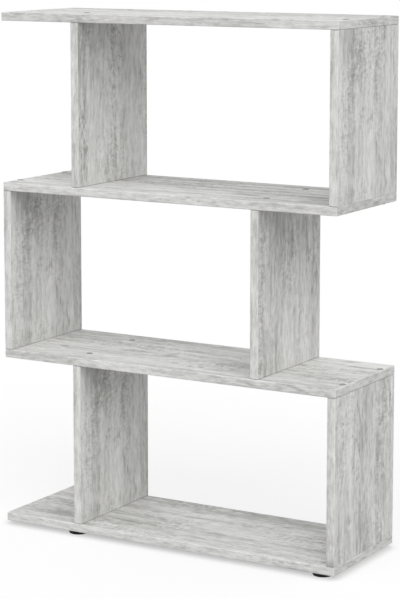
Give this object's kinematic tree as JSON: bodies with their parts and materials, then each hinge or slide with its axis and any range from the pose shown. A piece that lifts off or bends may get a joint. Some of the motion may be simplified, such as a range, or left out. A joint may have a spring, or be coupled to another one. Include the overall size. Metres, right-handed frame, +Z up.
{
  "type": "room divider bookcase",
  "caption": "Open zig-zag shelving unit of flat wood-decor panels, with offset uprights between long boards, to stand on the floor as a bookcase or a room divider.",
  "frame": {"origin": "on the floor, under the middle of the width and of the depth", "axes": "+X along the width towards the end where the lower and upper tiers are closed, +Y from front to back, +Z up"},
  "size_m": [0.705, 0.24, 0.9841],
  "materials": {
    "decor_board": "matt light grey washed wood decor",
    "edge_band": "matt light grey washed wood decor",
    "cover_cap": "satin grey",
    "foot": "matt black",
    "screw": "zinc plated",
    "dowel": "plain beech"
  },
  "bodies": {
    "root": {"base_board": "decor_board", "base_board_back_band": "edge_band", "base_board_front_band": "edge_band", "base_board_left_band": "edge_band", "base_board_right_band": "edge_band", "base_board_underside_screws": "screw", "foot_front_left": "foot", "foot_front_right": "foot", "foot_rear_left": "foot", "foot_rear_right": "foot", "foot_screws": "screw", "lower_dowels": "dowel", "lower_left_upright": "decor_board", "lower_left_upright_back_band": "edge_band", "lower_left_upright_front_band": "edge_band", "lower_right_upright": "decor_board", "lower_right_upright_back_band": "edge_band", "lower_right_upright_front_band": "edge_band", "lower_shelf": "decor_board", "lower_shelf_back_band": "edge_band", "lower_shelf_front_band": "edge_band", "lower_shelf_left_band": "edge_band", "lower_shelf_right_band": "edge_band", "lower_shelf_top_caps": "cover_cap", "lower_shelf_top_screws": "screw", "lower_shelf_underside_caps": "cover_cap", "lower_shelf_underside_screws": "screw", "middle_dowels": "dowel", "middle_left_upright": "decor_board", "middle_left_upright_back_band": "edge_band", "middle_left_upright_front_band": "edge_band", "middle_right_upright": "decor_board", "middle_right_upright_back_band": "edge_band", "middle_right_upright_front_band": "edge_band", "top_board": "decor_board", "top_board_back_band": "edge_band", "top_board_front_band": "edge_band", "top_board_left_band": "edge_band", "top_board_right_band": "edge_band", "top_board_top_caps": "cover_cap", "top_board_top_screws": "screw", "upper_dowels": "dowel", "upper_left_upright": "decor_board", "upper_left_upright_back_band": "edge_band", "upper_left_upright_front_band": "edge_band", "upper_right_upright": "decor_board", "upper_right_upright_back_band": "edge_band", "upper_right_upright_front_band": "edge_band", "upper_shelf": "decor_board", "upper_shelf_back_band": "edge_band", "upper_shelf_front_band": "edge_band", "upper_shelf_left_band": "edge_band", "upper_shelf_right_band": "edge_band", "upper_shelf_top_caps": "cover_cap", "upper_shelf_top_screws": "screw", "upper_shelf_underside_caps": "cover_cap", "upper_shelf_underside_screws": "screw"}
  },
  "joints": []
}
